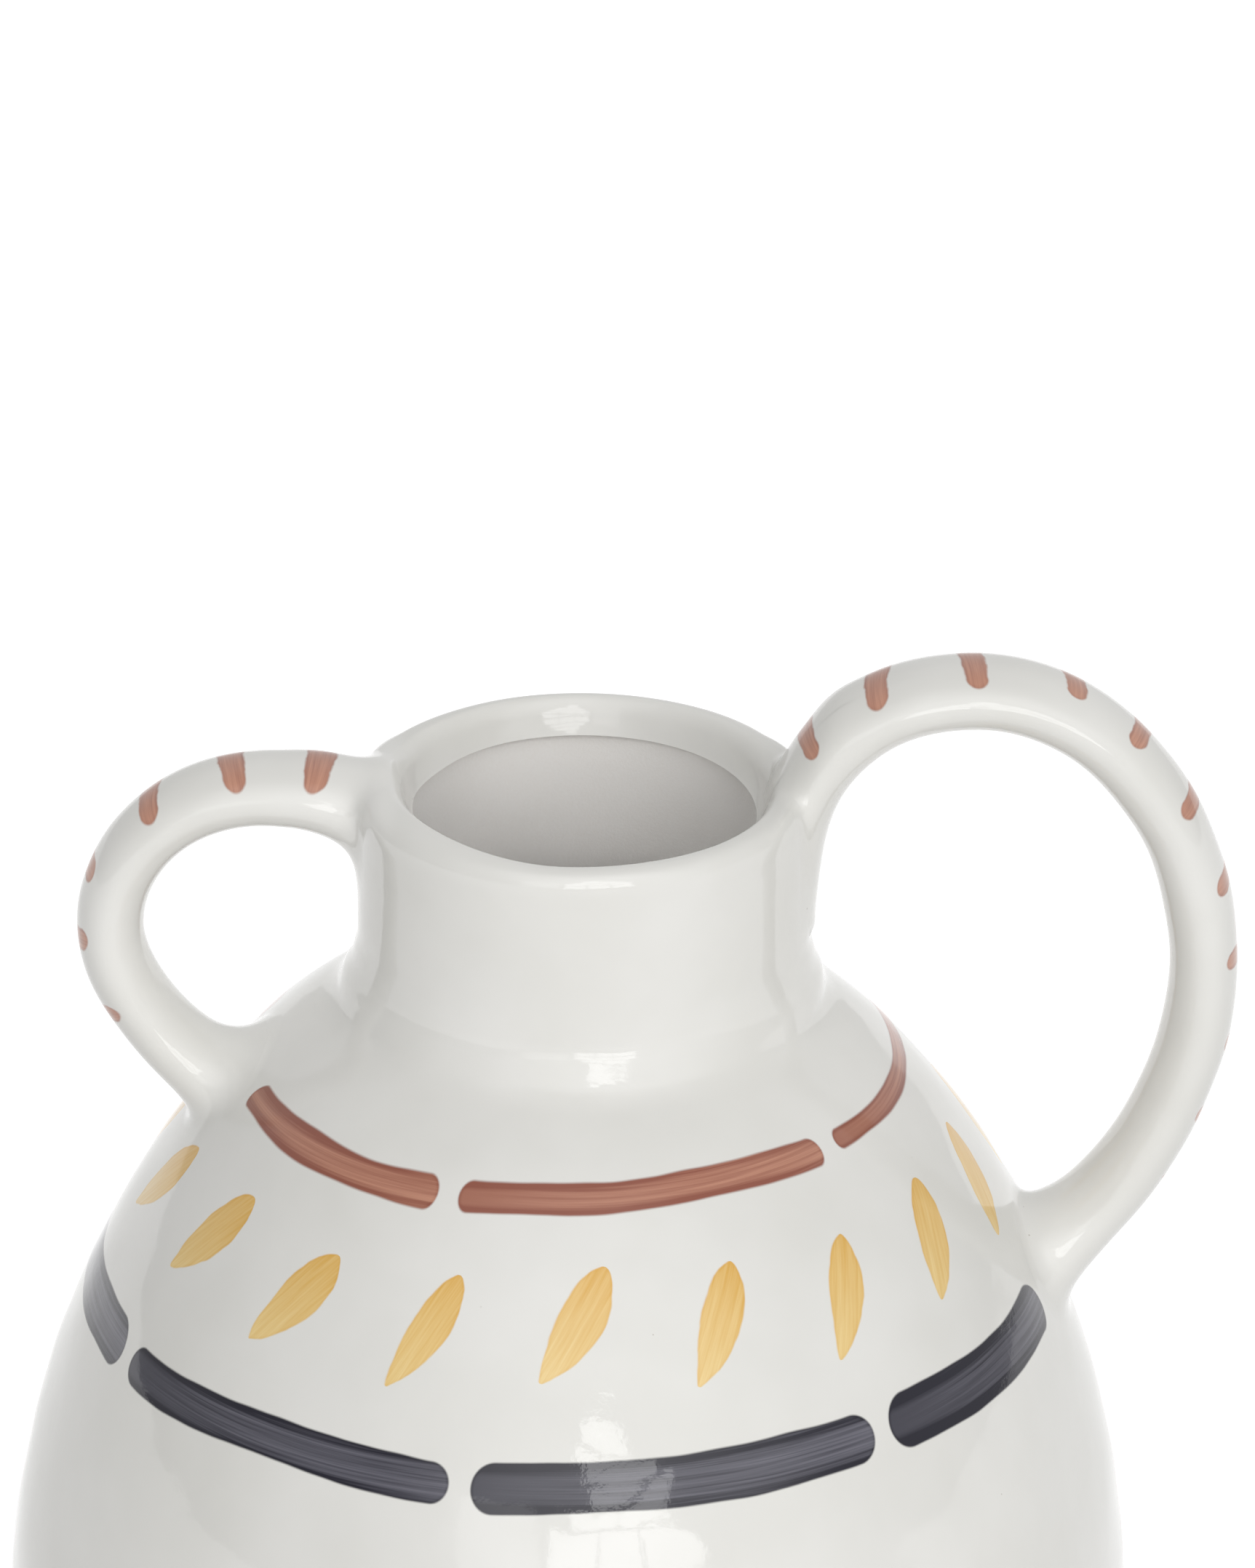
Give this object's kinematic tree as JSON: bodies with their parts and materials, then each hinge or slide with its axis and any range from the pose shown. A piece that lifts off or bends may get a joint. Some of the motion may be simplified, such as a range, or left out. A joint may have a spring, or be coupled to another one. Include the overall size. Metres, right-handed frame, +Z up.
{
  "type": "two-handled jar",
  "caption": "Egg-shaped glazed ceramic jar with a straight neck, a thick rounded lip and unequal loop handles, one rising above the mouth.",
  "frame": {"origin": "centre of the foot ring's resting face, on the jar's axis", "axes": "+Z up along the jar's axis, +X towards the large handle, -X towards the small handle"},
  "size_m": [0.293, 0.274, 0.3763],
  "materials": {
    "glaze": "glossy warm white glaze with brushed blue, ochre and brown bands",
    "bare_clay": "unglazed, matt"
  },
  "bodies": {
    "root": {"foot_ring": "bare_clay", "lower_body": "glaze", "shoulder": "glaze", "neck": "glaze", "rim": "glaze", "small_handle": "glaze", "large_handle": "glaze"}
  },
  "joints": []
}
